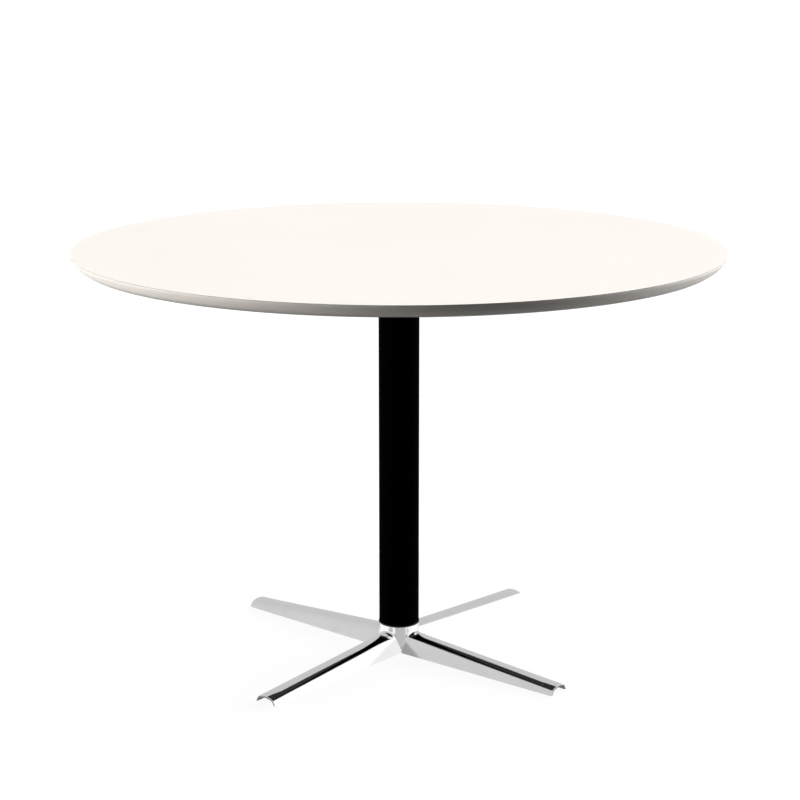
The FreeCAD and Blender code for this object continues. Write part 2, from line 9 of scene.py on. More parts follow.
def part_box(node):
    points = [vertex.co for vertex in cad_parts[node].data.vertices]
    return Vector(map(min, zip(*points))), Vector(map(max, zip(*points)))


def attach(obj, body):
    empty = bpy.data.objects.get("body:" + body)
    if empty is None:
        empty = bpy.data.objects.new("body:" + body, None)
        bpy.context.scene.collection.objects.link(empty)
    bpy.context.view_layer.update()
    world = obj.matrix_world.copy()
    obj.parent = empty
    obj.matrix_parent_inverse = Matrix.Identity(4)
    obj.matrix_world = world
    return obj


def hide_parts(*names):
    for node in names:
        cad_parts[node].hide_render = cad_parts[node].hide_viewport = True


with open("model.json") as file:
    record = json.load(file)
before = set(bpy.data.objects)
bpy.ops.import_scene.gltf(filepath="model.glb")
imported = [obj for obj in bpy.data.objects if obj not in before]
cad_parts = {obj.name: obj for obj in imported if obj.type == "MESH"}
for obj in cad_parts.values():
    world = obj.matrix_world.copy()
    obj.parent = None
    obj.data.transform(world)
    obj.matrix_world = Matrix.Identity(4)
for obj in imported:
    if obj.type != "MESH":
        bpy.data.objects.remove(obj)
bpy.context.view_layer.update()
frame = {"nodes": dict(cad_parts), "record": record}        # frame["bodies"], ["nodes"], ["joints"], ["record"]

MM = 0.001
LEGS = 4
LEG_STEP = math.tau / LEGS
FIRST_LEG = -LEG_STEP / 2

# ---- sizes read from the frame ----


def radius_of(node):
    """Half the width of a round node."""
    low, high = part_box(node)
    return (high.x - low.x) / 2


def foot_of(node):
    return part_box(node)[0].z


def head_of(node):
    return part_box(node)[1].z


TOP_RADIUS = radius_of("top_core")
TOP_HEIGHT = head_of("top_laminate")
BACKING_SLOPE = 1.7 * MM
UNDERSIDE_RADIUS = radius_of("backing_sheet") - BACKING_SLOPE
LIP_HEIGHT = 3.0 * MM
COLUMN_RADIUS = radius_of("column_tube")
HUB_TOP = foot_of("column_gasket")
BASE_HALF_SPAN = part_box("star_base")[1].x

# the leg's section, for half of its width: a pair runs from the column's axis to the leg's end
FLOOR_GAP = foot_of("star_base")
FOOT_HALF = (28.1 * MM, 22.5 * MM)
SHOULDER_HALF = (16.7 * MM, 17.0 * MM)
SHOULDER_HEIGHT = (30.1 * MM, 10.0 * MM)
CROWN_RISE = (7.3 * MM, 3.8 * MM)
LEG_WALL = 3.5 * MM
HOLLOW_START = 37.0 * MM
GLIDE_RADIUS = 300.0 * MM


def mix(pair, share):
    """A value that runs from the first of a pair to the second."""
    return pair[0] + (pair[1] - pair[0]) * share


def leg_reach():
    """The leg's length, from the base's span and the foot's half width at the gap height."""
    lean = (FOOT_HALF[1] - SHOULDER_HALF[1]) / SHOULDER_HEIGHT[1]
    half = FOOT_HALF[1] - lean * FLOOR_GAP
    return BASE_HALF_SPAN * math.sqrt(2.0) - half


LEG_REACH = leg_reach()


# ---- mesh helpers ----

SMALL_SIDES = 48
RING_SIDES = 96
COLUMN_SIDES = 192
TOP_SIDES = 360
HOLE_SIDES = 32
MERGE_DISTANCE = 0.001 * MM
CREASE_ANGLE = math.radians(32.0)
# a rounded corner takes at most this share of a side, and a long side is over this many corners
CORNER_SHARE = 0.45
LONG_SIDE = 6


def new_object(name, mesh):
    piece = bpy.data.objects.new(name, mesh)
    bpy.context.scene.collection.objects.link(piece)
    return piece


def mesh_from(name, points, faces):
    """A mesh from points and faces, with shared points merged and faces turned outwards."""
    mesh = bpy.data.meshes.new(name)
    mesh.from_pydata([tuple(p) for p in points], [], faces)
    work = bmesh.new()
    work.from_mesh(mesh)
    bmesh.ops.remove_doubles(work, verts=work.verts, dist=MERGE_DISTANCE)
    loose = [edge for edge in work.edges if not edge.link_faces]
    bmesh.ops.delete(work, geom=loose, context="EDGES")
    bmesh.ops.recalc_face_normals(work, faces=work.faces)
    work.to_mesh(mesh)
    work.free()
    return mesh


def sharpen(piece):
    """Shade an object smooth, with creases where faces meet at a wide angle."""
    work = bmesh.new()
    work.from_mesh(piece.data)
    for edge in work.edges:
        edge.smooth = len(edge.link_faces) == 2 and edge.calc_face_angle(0.0) < CREASE_ANGLE
    for face in work.faces:
        face.smooth = True
    work.to_mesh(piece.data)
    work.free()


def curved(start, corner, end, share):
    """A point on the smooth curve that leaves start for a corner and arrives at end from it."""
    return start * (1 - share) ** 2 + corner * 2 * share * (1 - share) + end * share ** 2


def rounded(outline, radius, steps=4, closed=False):
    """An outline of (r, z) points with its corners rounded. An open one keeps its two ends.
    On a long side a further point next to each corner keeps the shading of its flat part flat."""
    count = len(outline)
    out = []
    for i in range(count):
        here = Vector(outline[i])
        if not closed and i in (0, count - 1):
            out.append(outline[i])
            continue
        back = Vector(outline[i - 1]) - here
        ahead = Vector(outline[(i + 1) % count]) - here
        reach = min(radius, back.length * CORNER_SHARE, ahead.length * CORNER_SHARE)
        start = here + back.normalized() * reach
        end = here + ahead.normalized() * reach
        spots = [curved(start, here, end, k / steps) for k in range(steps + 1)]
        if back.length > LONG_SIDE * reach:
            spots.insert(0, here + back.normalized() * 2 * reach)
        if ahead.length > LONG_SIDE * reach:
            spots.append(here + ahead.normalized() * 2 * reach)
        out += [(spot.x, spot.y) for spot in spots]
    return out


def bulged(start, end, bulge, steps):
    """Points along an arc from start to end, swelling to the right of the way it runs."""
    start, end = Vector(start), Vector(end)
    along = end - start
    away = Vector((along.y, -along.x)).normalized()
    radius = (along.length / 2) ** 2 / (2 * bulge) + bulge / 2
    centre = (start + end) / 2 + away * (bulge - radius)
    sweep = 2 * math.asin(along.length / 2 / radius)
    spokes = [Matrix.Rotation(sweep * k / steps, 2) @ (start - centre) for k in range(steps + 1)]
    return [tuple(centre + spoke) for spoke in spokes]


def piece_from(name, points, faces):
    piece = new_object(name, mesh_from(name, points, faces))
    sharpen(piece)
    return piece


def wrapped(name, columns, closed=True, ends=False):
    """A skin over columns of points set side by side round an axis. The columns can be closed
    loops, and open ones can be given flat ends."""
    rows = len(columns[0])
    points = [spot for column in columns for spot in column]
    faces = []
    for i in range(len(columns)):
        beside = (i + 1) % len(columns)
        for k in range(rows if closed else rows - 1):
            above = (k + 1) % rows
            faces.append((i * rows + k, i * rows + above, beside * rows + above, beside * rows + k))
    if ends:
        for k in (0, rows - 1):
            faces.append([i * rows + k for i in range(len(columns))])
    return piece_from(name, points, faces)


def lathe(name, outline, sides=RING_SIDES):
    """Turn a closed (r, z) outline about the Z axis."""
    columns = []
    for i in range(sides):
        angle = math.tau * i / sides
        columns.append([(r * math.cos(angle), r * math.sin(angle), z) for r, z in outline])
    return wrapped(name, columns)


def prism(name, outline, low, high):
    """A solid raised between two heights from a flat outline."""
    count = len(outline)
    points = [(x, y, z) for z in (low, high) for x, y in outline]
    faces = [list(range(count)), list(range(count, 2 * count))]
    for i in range(count):
        following = (i + 1) % count
        faces.append((i, following, count + following, count + i))
    return piece_from(name, points, faces)


def round_outline(radius, x=0.0, sides=SMALL_SIDES):
    """Points round a circle centred on the X axis."""
    step = math.tau / sides
    return [(x + radius * math.cos(step * i), radius * math.sin(step * i)) for i in range(sides)]


def hexagon_outline(flats):
    corner = flats / math.sqrt(3.0)
    step = math.tau / 6
    return [(corner * math.cos(step * i), corner * math.sin(step * i)) for i in range(6)]


def turned(piece, angle):
    piece.data.transform(Matrix.Rotation(angle, 4, "Z"))
    return piece


def moved(piece, x, y):
    piece.data.transform(Matrix.Translation((x, y, 0.0)))
    return piece


def copies(piece, spots):
    """Turn a piece made at the origin into one object with a separate copy at every spot."""
    work = bmesh.new()
    for x, y in spots:
        start = len(work.verts)
        work.from_mesh(piece.data)
        work.verts.ensure_lookup_table()
        bmesh.ops.translate(work, verts=work.verts[start:], vec=(x, y, 0.0))
    work.to_mesh(piece.data)
    work.free()
    return piece


def combine(piece, tool, operation):
    """Join a tool to a piece, or cut it away, and drop the tool."""
    modifier = piece.modifiers.new("combine", "BOOLEAN")
    modifier.operation = operation
    modifier.solver = "EXACT"
    modifier.object = tool
    graph = bpy.context.evaluated_depsgraph_get()
    result = bpy.data.meshes.new_from_object(piece.evaluated_get(graph))
    piece.modifiers.clear()
    piece.data = result
    bpy.data.objects.remove(tool)
    return piece


def add_materials(piece, *names):
    for name in names:
        piece.data.materials.append(MATERIALS[name])


# ---- finishing ----

SLOT_OF = {row["node"]: row["material_slot"] for row in frame["record"]["subparts"]}
BODIES = frame["record"]["behaviour"]["bodies"]
BODY_OF = {node: body for body, nodes in BODIES.items() for node in nodes}
MATERIALS = {}


def finish(piece, node):
    """Give a piece the body of the CAD node it stands for, and its finish if it has none yet."""
    slot = SLOT_OF[node]
    if not piece.data.materials:
        add_materials(piece, slot)
    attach(piece, BODY_OF[node])
    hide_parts(node)


# ---- materials ----

# the slow drift of a finish: its cycles a metre, its detail, and the tone of its darker places
SHEET_DRIFT = 3.0
SHEET_DRIFT_DETAIL = 2.0
METAL_DRIFT = 14.0
SHEET_DARKER = 0.975
METAL_DARKER = 0.94
# the fine grain: its detail, how far it varies the roughness, and the strength of its bump
GRAIN_DETAIL = 4.0
SHEET_GLOSS = (0.88, 1.12)
METAL_GLOSS = (0.7, 1.3)
SHEET_BUMP = 0.25
METAL_BUMP = 0.3
# wear on edges by their sharpness, or on a round sheet by the distance from its rim
EDGE_SHARPNESS = (0.52, 0.60)
RIM_WEAR = 2.0 * MM
# the painted shade at the foot of the table's edge: its height and its darkest tone
PAINTED_SHADE_HEIGHT = 6.0 * MM
PAINTED_SHADE_TONE = 0.6
# where Blender's mix node keeps its two colours and their blend
COLOUR_INPUTS = (6, 7)
COLOUR_OUTPUT = 2


class Recipe:
    """A small helper that builds one node material."""

    def __init__(self, name):
        self.material = bpy.data.materials.new(name)
        self.material.use_nodes = True
        self.tree = self.material.node_tree
        self.shader = self.tree.nodes["Principled BSDF"]
        self.place = self.tree.nodes.new("ShaderNodeTexCoord").outputs["Object"]

    def node(self, kind, **settings):
        made = self.tree.nodes.new(kind)
        for key, value in settings.items():
            setattr(made, key, value)
        return made

    def link(self, source, target):
        self.tree.links.new(source, target)

    def set(self, name, value):
        self.shader.inputs[name].default_value = value

    def noise(self, scale, detail=3.0, stretch=None):
        """A noise pattern, its scale in cycles a metre, optionally stretched along the axes."""
        source = self.place
        if stretch:
            mapping = self.node("ShaderNodeMapping")
            mapping.inputs["Scale"].default_value = stretch
            self.link(source, mapping.inputs["Vector"])
            source = mapping.outputs["Vector"]
        made = self.node("ShaderNodeTexNoise")
        made.inputs["Scale"].default_value = scale
        made.inputs["Detail"].default_value = detail
        self.link(source, made.inputs["Vector"])
        return made.outputs["Fac"]

    def spread(self, source, low, high, into_low=0.3, into_high=0.7):
        """Stretch a pattern's middle range onto low..high."""
        made = self.node("ShaderNodeMapRange")
        made.inputs["From Min"].default_value = into_low
        made.inputs["From Max"].default_value = into_high
        made.inputs["To Min"].default_value = low
        made.inputs["To Max"].default_value = high
        self.link(source, made.inputs["Value"])
        return made.outputs["Result"]

    def blend(self, factor, first, second):
        made = self.node("ShaderNodeMix", data_type="RGBA")
        self.link(factor, made.inputs["Factor"])
        for slot, value in zip(COLOUR_INPUTS, (first, second)):
            if isinstance(value, (tuple, list)):
                made.inputs[slot].default_value = (*value, 1.0)
            else:
                self.link(value, made.inputs[slot])
        return made.outputs[COLOUR_OUTPUT]

    def worn_edges(self):
        """A mask that is bright on outward edges."""
        geometry = self.node("ShaderNodeNewGeometry")
        return self.spread(geometry.outputs["Pointiness"], 0.0, 1.0, *EDGE_SHARPNESS)

    def worn_rim(self, radius, width):
        """A mask that is bright on the last few millimetres of a round sheet."""
        flat = self.node("ShaderNodeVectorMath", operation="MULTIPLY")
        flat.inputs[1].default_value = (1.0, 1.0, 0.0)
        self.link(self.place, flat.inputs[0])
        length = self.node("ShaderNodeVectorMath", operation="LENGTH")
        self.link(flat.outputs["Vector"], length.inputs[0])
        return self.spread(length.outputs["Value"], 0.0, 1.0, radius - width, radius)

    def painted_foot_shade(self, low, high, darkest):
        """Painted shade: a factor that falls from 1 at the higher height to the darkest tone at the lower one.
        """
        split = self.node("ShaderNodeSeparateXYZ")
        self.link(self.place, split.inputs["Vector"])
        return self.spread(split.outputs["Z"], darkest, 1.0, low, high)

    def times(self, tone, factor):
        made = self.node("ShaderNodeVectorMath", operation="SCALE")
        self.link(tone, made.inputs["Vector"])
        self.link(factor, made.inputs["Scale"])
        return made.outputs["Vector"]

    def bump(self, height, strength, distance):
        made = self.node("ShaderNodeBump")
        made.inputs["Strength"].default_value = strength
        made.inputs["Distance"].default_value = distance
        self.link(height, made.inputs["Height"])
        self.link(made.outputs["Normal"], self.shader.inputs["Normal"])


def coated(name, colour, worn_colour, roughness, grain, grain_height, specular,
           rim=None, foot=None):
    """A sheet, lacquer or moulding: slight colour drift, fine grain, softly worn edges.
    A round sheet's wear follows its rim, and painted shade can darken its lower edge."""
    recipe = Recipe(name)
    drift = recipe.spread(recipe.noise(SHEET_DRIFT, SHEET_DRIFT_DETAIL), 0.0, 1.0)
    darker = tuple(c * SHEET_DARKER for c in colour)
    tone = recipe.blend(drift, darker, colour)
    worn = recipe.worn_rim(rim, RIM_WEAR) if rim else recipe.worn_edges()
    tone = recipe.blend(worn, tone, worn_colour)
    # darken the lower edge with painted shade
    if foot:
        tone = recipe.times(tone, recipe.painted_foot_shade(foot, foot + PAINTED_SHADE_HEIGHT, PAINTED_SHADE_TONE))
    recipe.link(tone, recipe.shader.inputs["Base Color"])
    fine = recipe.noise(grain, GRAIN_DETAIL)
    low, high = (roughness * share for share in SHEET_GLOSS)
    recipe.link(recipe.spread(fine, low, high), recipe.shader.inputs["Roughness"])
    recipe.bump(fine, SHEET_BUMP, grain_height)
    recipe.set("Specular IOR Level", specular)
    MATERIALS[name] = recipe.material


def metal(name, colour, worn_colour, roughness, grain, grain_height, stretch=None):
    """Bare metal: tone drift, directional or even grain, brighter edges."""
    recipe = Recipe(name)
    drift = recipe.spread(recipe.noise(METAL_DRIFT), 0.0, 1.0)
    darker = tuple(c * METAL_DARKER for c in colour)
    tone = recipe.blend(drift, darker, colour)
    tone = recipe.blend(recipe.worn_edges(), tone, worn_colour)
    recipe.link(tone, recipe.shader.inputs["Base Color"])
    fine = recipe.noise(grain, GRAIN_DETAIL, stretch)
    low, high = (roughness * share for share in METAL_GLOSS)
    recipe.link(recipe.spread(fine, low, high), recipe.shader.inputs["Roughness"])
    recipe.bump(fine, METAL_BUMP, grain_height)
    recipe.set("Metallic", 1.0)
    MATERIALS[name] = recipe.material


def make_sheets_and_coats():
    """The finishes that are glued on, painted on or moulded."""
    coated("white_laminate", (0.93, 0.885, 0.825), (0.95, 0.91, 0.86), roughness=0.42,
           grain=900.0, grain_height=0.02 * MM, specular=0.4, rim=TOP_RADIUS)
    # the laminate's edge, darker than the sheet: its dark tone is painted shade along the top of the rim
    coated("shaded_laminate_edge", (0.42, 0.39, 0.36), (0.5, 0.47, 0.44), roughness=0.5,
           grain=900.0, grain_height=0.02 * MM, specular=0.3)
    # the lacquered edge, whose lower part is darkened with painted shade
    coated("edge_lacquer", (0.86, 0.80, 0.735), (0.88, 0.84, 0.79), roughness=0.38,
           grain=600.0, grain_height=0.04 * MM, specular=0.4, rim=TOP_RADIUS, foot=foot_of("top_core"))
    coated("dark_backing", (0.016, 0.015, 0.014), (0.05, 0.048, 0.045), roughness=0.45,
           grain=900.0, grain_height=0.03 * MM, specular=0.4, rim=radius_of("backing_sheet"))
    coated("black_steel", (0.012, 0.012, 0.012), (0.05, 0.05, 0.05), roughness=0.5,
           grain=700.0, grain_height=0.06 * MM, specular=0.4)
    coated("column_black", (0.0001, 0.0001, 0.0001), (0.0006, 0.0006, 0.0006), roughness=0.6,
           grain=800.0, grain_height=0.04 * MM, specular=0.002)
    coated("black_plastic", (0.006, 0.006, 0.006), (0.02, 0.02, 0.02), roughness=0.5,
           grain=500.0, grain_height=0.05 * MM, specular=0.3)


def make_metals():
    """The bare metals."""
    metal("insert_brass", (0.78, 0.58, 0.28), (0.9, 0.72, 0.42), roughness=0.3,
          grain=400.0, grain_height=0.02 * MM)
    metal("bare_steel", (0.46, 0.45, 0.44), (0.7, 0.7, 0.7), roughness=0.38,
          grain=300.0, grain_height=0.03 * MM, stretch=(1.0, 1.0, 12.0))
    metal("zinc_steel", (0.66, 0.68, 0.71), (0.85, 0.86, 0.88), roughness=0.28,
          grain=350.0, grain_height=0.02 * MM)
    metal("polished_aluminium", (0.90, 0.90, 0.90), (0.93, 0.93, 0.93), roughness=0.07,
          grain=260.0, grain_height=0.004 * MM)
    # raw cast grey, made darker still as painted shade inside the hollow legs and on their ends
    metal("cast_aluminium", (0.16, 0.16, 0.165), (0.22, 0.22, 0.225), roughness=0.48,
          grain=520.0, grain_height=0.12 * MM)


# ---- table top ----

BEVEL_BULGE = 2.0 * MM
BEVEL_STEPS = 12
LAMINATE_SOFT = 0.15 * MM
BACKING_SOFT = 0.3 * MM
SCREW_RADII = (105.0 * MM, 250.0 * MM)
INSERT_RADIUS = 5.0 * MM
INSERT_HOLE_TOP = 712.0 * MM
SCREW_RADIUS = 3.0 * MM
# how far a cutting tool reaches past the piece that it goes through
OVERCUT = 1.0 * MM


def on_legs(radii):
    """Places at some distances from the axis, above each of the four legs."""
    angles = [FIRST_LEG + LEG_STEP * leg for leg in range(LEGS)]
    return [(r * math.cos(angle), r * math.sin(angle)) for angle in angles for r in radii]


def drilled(piece, radius, low, high):
    """Cut the eight screw holes into a piece."""
    holes = prism("holes", round_outline(radius, sides=HOLE_SIDES), low, high)
    return combine(piece, copies(holes, on_legs(SCREW_RADII)), "DIFFERENCE")


def make_top():
    lip = TOP_HEIGHT - LIP_HEIGHT
    joint = foot_of("top_laminate")
    core_foot = foot_of("top_core")
    under = foot_of("backing_sheet")
    core_radius = radius_of("backing_sheet")

    laminate = lathe("table_laminate", rounded([
        (0.0, TOP_HEIGHT), (TOP_RADIUS, TOP_HEIGHT), (TOP_RADIUS, joint), (0.0, joint)],
        LAMINATE_SOFT), TOP_SIDES)
    add_materials(laminate, "white_laminate", "shaded_laminate_edge")
    # upright faces take the darker edge finish, which paints the shade at the top of the rim
    for face in laminate.data.polygons:
        face.material_index = 1 if abs(face.normal.z) < 0.5 else 0
    finish(laminate, "top_laminate")

    bevel = bulged((core_radius, core_foot), (TOP_RADIUS, lip), BEVEL_BULGE, BEVEL_STEPS)
    outline = [(0.0, core_foot)] + bevel + [(TOP_RADIUS, joint), (0.0, joint)]
    core = drilled(lathe("table_core", outline, TOP_SIDES), INSERT_RADIUS, under, INSERT_HOLE_TOP)
    sharpen(core)
    finish(core, "top_core")

    backing = lathe("table_backing", rounded([
        (0.0, core_foot), (core_radius, core_foot), (UNDERSIDE_RADIUS, under), (0.0, under)],
        BACKING_SOFT), TOP_SIDES)
    sharpen(drilled(backing, INSERT_RADIUS, under - OVERCUT, core_foot + OVERCUT))
    finish(backing, "backing_sheet")


# ---- spider and its screws ----

SPIDER_HUB = 75.0 * MM
ARM_START = 252.0 * MM
ARM_HALF = (27.0 * MM, 18.0 * MM)
ARM_END_STEPS = 24
SPIDER_SOFT = 0.6 * MM
SPIDER_CREASE = math.radians(50.0)
SCREW_PLAY = 0.3 * MM
SCREW_HEAD_RADIUS = 5.5 * MM
SCREW_HEAD_HEIGHT = 3.6 * MM
SCREW_SOFT = 0.9 * MM
SOCKET_FLATS = 4.0 * MM
SOCKET_DEPTH = 2.2 * MM
WASHER_RADIUS = 6.25 * MM
WASHER_BORE = 3.2 * MM
WASHER_SOFT = 0.25 * MM
INSERT_SOFT = 0.3 * MM


def arm_outline():
    """A tapered arm along the X axis with a round end."""
    root, tip = ARM_HALF
    end = []
    for k in range(ARM_END_STEPS + 1):
        angle = -math.pi / 2 + math.pi * k / ARM_END_STEPS
        end.append((ARM_START + tip * math.cos(angle), tip * math.sin(angle)))
    return [(0.0, -root)] + end + [(0.0, root)]


def make_spider():
    low, high = foot_of("top_spider"), head_of("top_spider")
    spider = prism("spider_plate", round_outline(SPIDER_HUB, sides=RING_SIDES), low, high)
    for leg in range(LEGS):
        arm = turned(prism("arm", arm_outline(), low, high), FIRST_LEG + LEG_STEP * leg)
        combine(spider, arm, "UNION")
    drilled(spider, SCREW_RADIUS + SCREW_PLAY, low - OVERCUT, high + OVERCUT)
    sharpen(spider)
    softened = spider.modifiers.new("softened", "BEVEL")
    softened.width = SPIDER_SOFT
    softened.segments = 2
    softened.limit_method = "ANGLE"
    softened.angle_limit = SPIDER_CREASE
    softened.harden_normals = True
    finish(spider, "top_spider")


def make_screws():
    low, high = foot_of("spider_screws"), head_of("spider_screws")
    shoulder = low + SCREW_HEAD_HEIGHT
    outline = rounded([
        (0.0, low), (SCREW_HEAD_RADIUS, low), (SCREW_HEAD_RADIUS, shoulder),
        (SCREW_RADIUS, shoulder), (SCREW_RADIUS, high), (0.0, high)], SCREW_SOFT)
    screw = lathe("spider_screw_set", outline, SMALL_SIDES)
    socket = prism("socket", hexagon_outline(SOCKET_FLATS), low - SOCKET_DEPTH, low + SOCKET_DEPTH)
    sharpen(combine(screw, socket, "DIFFERENCE"))
    finish(copies(screw, on_legs(SCREW_RADII)), "spider_screws")


def make_ring_set(name, node, outer, bore, edge):
    """Eight equal rings, one at each screw, as high as their node."""
    outline = ring_outline(outer, bore, foot_of(node), head_of(node), edge)
    finish(copies(lathe(name, outline, SMALL_SIDES), on_legs(SCREW_RADII)), node)


def make_fasteners():
    make_screws()
    make_ring_set("screw_washer_set", "screw_washers", WASHER_RADIUS, WASHER_BORE, WASHER_SOFT)
    make_ring_set("insert_set", "threaded_inserts", INSERT_RADIUS, SCREW_RADIUS, INSERT_SOFT)


# ---- column and tie rod ----

ROD_RADIUS = radius_of("tie_rod")
COLUMN_BORE = radius_of("base_plug")
SPIGOT_RADIUS = 28.0 * MM
COLLAR_BORE = 27.0 * MM
ROD_PITCH = 1.75 * MM
ROD_THREADS = ((0.0, 42.0 * MM), (645.0 * MM, 700.0 * MM))
ROD_CHAMFER = 1.0 * MM
NUT_FLATS = 18.0 * MM
STUD_PITCH = 1.25 * MM
RING_EDGE_STEPS = 3
# a metric thread's depth for its pitch, and how much steeper its flanks are than a zigzag's
THREAD_DEPTH = 0.61
THREAD_FLANK = 1.3
THREAD_ROWS_A_TURN = 8
THREAD_SIDES = 40
HEXAGON_CHAMFER = math.radians(30.0)
HEXAGON_LAND = 0.02 * MM
LOCK_GAP_HALF = 0.75 * MM
LOCK_SLANT = 0.5
LOCK_STEPS = 72
# how far the edges of each round piece are softened
TUBE_EDGE = 0.4 * MM
GASKET_EDGE = 0.6 * MM
CENTRING_EDGE = 0.5 * MM
BOSS_EDGE = 0.8 * MM
ROD_WASHER_EDGE = 0.4 * MM
LOCK_WASHER_EDGE = 0.3 * MM


def ring_outline(outer, bore, low, high, edge):
    """A ring's section with softened edges."""
    return rounded([(bore, low), (outer, low), (outer, high), (bore, high)], edge,
                   RING_EDGE_STEPS, closed=True)


def make_ring(name, node, bore, edge, sides=RING_SIDES):
    """A plain ring with softened edges, as wide and as high as its node."""
    outline = ring_outline(radius_of(node), bore, foot_of(node), head_of(node), edge)
    finish(lathe(name, outline, sides), node)


def thread_depth(turn, pitch):
    """How deep a thread cuts at some number of turns: sloping flanks with flats between them."""
    slope = abs(2 * (turn % 1.0) - 1)
    return THREAD_DEPTH * pitch * min(1.0, max(0.0, 0.5 + (slope - 0.5) * THREAD_FLANK))


def threaded(name, radius, low, high, pitch, stretches, chamfer):
    """A rod along the Z axis with a real screw thread over some stretches of it."""
    heights = {low, low + chamfer, high - chamfer, high}
    for start, end in stretches:
        start, end = max(low, start), min(high, end)
        steps = int((end - start) / pitch * THREAD_ROWS_A_TURN)
        heights.update(start + (end - start) * k / steps for k in range(steps + 1))
    heights = sorted(heights)
    columns = []
    for i in range(THREAD_SIDES):
        angle = math.tau * i / THREAD_SIDES
        column = []
        for z in heights:
            cut = 0.0
            if any(start <= z <= end for start, end in stretches):
                cut = thread_depth(z / pitch - i / THREAD_SIDES, pitch)
            reach = min(radius - cut, radius - chamfer + min(z - low, high - z))
            column.append((reach * math.cos(angle), reach * math.sin(angle), z))
        columns.append(column)
    return wrapped(name, columns, closed=False, ends=True)


def hexagon_block(name, flats, bore, low, high):
    """A hexagonal nut or collar whose corners are chamfered as if turned on a lathe."""
    columns = []
    face = flats / 2
    for i in range(RING_SIDES):
        angle = math.tau * i / RING_SIDES
        corner = face / math.cos(angle % (math.tau / 6) - math.tau / 12)
        drop = (corner - face) * math.tan(HEXAGON_CHAMFER) + HEXAGON_LAND
        column = [(bore, low), (face, low), (corner, low + drop), (corner, high - drop),
                  (face, high), (bore, high)]
        columns.append([(r * math.cos(angle), r * math.sin(angle), z) for r, z in column])
    return wrapped(name, columns)


def make_lock_washer():
    """A spring washer: a ring with a gap, cut a little on the slant."""
    node = "lock_washer"
    low, high = foot_of(node), head_of(node)
    outline = ring_outline(radius_of(node), ROD_RADIUS, low, high, LOCK_WASHER_EDGE)
    middle = (low + high) / 2
    gap = LOCK_GAP_HALF / radius_of(node)
    loops = []
    for k in range(LOCK_STEPS + 1):
        loop = []
        for r, z in outline:
            slant = (z - middle) * LOCK_SLANT / radius_of(node)
            angle = gap + slant + (math.tau - 2 * gap) * k / LOCK_STEPS
            loop.append((r * math.cos(angle), r * math.sin(angle), z))
        loops.append(loop)
    points = [spot for loop in loops for spot in loop]
    rows = len(outline)
    faces = [list(range(rows)), [LOCK_STEPS * rows + k for k in range(rows)]]
    for i in range(LOCK_STEPS):
        for k in range(rows):
            above = (k + 1) % rows
            faces.append((i * rows + k, i * rows + above, (i + 1) * rows + above, (i + 1) * rows + k))
    finish(piece_from("spring_washer", points, faces), node)


def make_column():
    make_ring("column", "column_tube", COLUMN_BORE, TUBE_EDGE, COLUMN_SIDES)
    make_ring("column_ring", "column_gasket", SPIGOT_RADIUS, GASKET_EDGE, COLUMN_SIDES)
    make_ring("spigot_ring", "base_plug", SPIGOT_RADIUS, CENTRING_EDGE)
    make_ring("collar_ring", "tube_collar", COLLAR_BORE, CENTRING_EDGE)
    make_ring("threaded_boss", "rod_boss", ROD_RADIUS, BOSS_EDGE)
    make_ring("wide_washer", "rod_washer", ROD_RADIUS, ROD_WASHER_EDGE)
    make_lock_washer()
    nut = hexagon_block("tie_nut", NUT_FLATS, ROD_RADIUS, foot_of("rod_nut"), head_of("rod_nut"))
    finish(nut, "rod_nut")
    rod = threaded("tie_rod_screw", ROD_RADIUS, foot_of("tie_rod"), head_of("tie_rod"), ROD_PITCH,
                   ROD_THREADS, ROD_CHAMFER)
    finish(rod, "tie_rod")


# ---- glides ----

LEG_NAMES = ("right_front", "right_back", "left_back", "left_front")
PAD_SIDES = 64
PAD_CHAMFER = 1.0 * MM
PAD_SOFT = 0.5 * MM
STUD_RADIUS = 4.0 * MM
DISC_RADIUS = 6.0 * MM
DISC_TOP = 2.75 * MM
DISC_SOFT = 0.2 * MM
STUD_INTO_DISC = 0.5 * MM
FLANGE_FLATS = 13.0 * MM
FLANGE_HEIGHT = 1.3 * MM
# the clearance all round between a glide's pad and the stud that turns in it
PLAY = 0.05 * MM


def make_pad(name, x, y):
    """A glide's plastic pad, hollowed for the disc and the neck of its stud."""
    node = "glide_pad_" + name
    low, high, radius = foot_of(node), head_of(node), radius_of(node)
    neck, disc = STUD_RADIUS + PLAY, DISC_RADIUS + PLAY
    disc_low, disc_high = foot_of("glide_stud_" + name) - PLAY, DISC_TOP + PLAY
    pad = lathe("pad_" + name, rounded([
        (0.0, low), (radius - PAD_CHAMFER, low), (radius, low + PAD_CHAMFER), (radius, high),
        (neck, high), (neck, disc_high), (disc, disc_high), (disc, disc_low), (0.0, disc_low)],
        PAD_SOFT), PAD_SIDES)
    finish(moved(pad, x, y), node)


def make_stud(name, x, y):
    """A glide's zinc stud: a disc that sits in the pad, a hexagonal flange and a thread."""
    node = "glide_stud_" + name
    low, high = foot_of(node), head_of(node)
    flange_low = head_of("glide_pad_" + name) + PLAY
    flange_high = flange_low + FLANGE_HEIGHT
    stud = threaded("stud_" + name, STUD_RADIUS, DISC_TOP - STUD_INTO_DISC, high, STUD_PITCH,
                    ((flange_high, high),), 0.0)
    disc = lathe("disc", rounded([
        (0.0, low), (DISC_RADIUS, low), (DISC_RADIUS, DISC_TOP), (0.0, DISC_TOP)], DISC_SOFT),
        SMALL_SIDES)
    combine(stud, disc, "UNION")
    combine(stud, hexagon_block("flange", FLANGE_FLATS, 0.0, flange_low, flange_high), "UNION")
    sharpen(stud)
    finish(moved(stud, x, y), node)


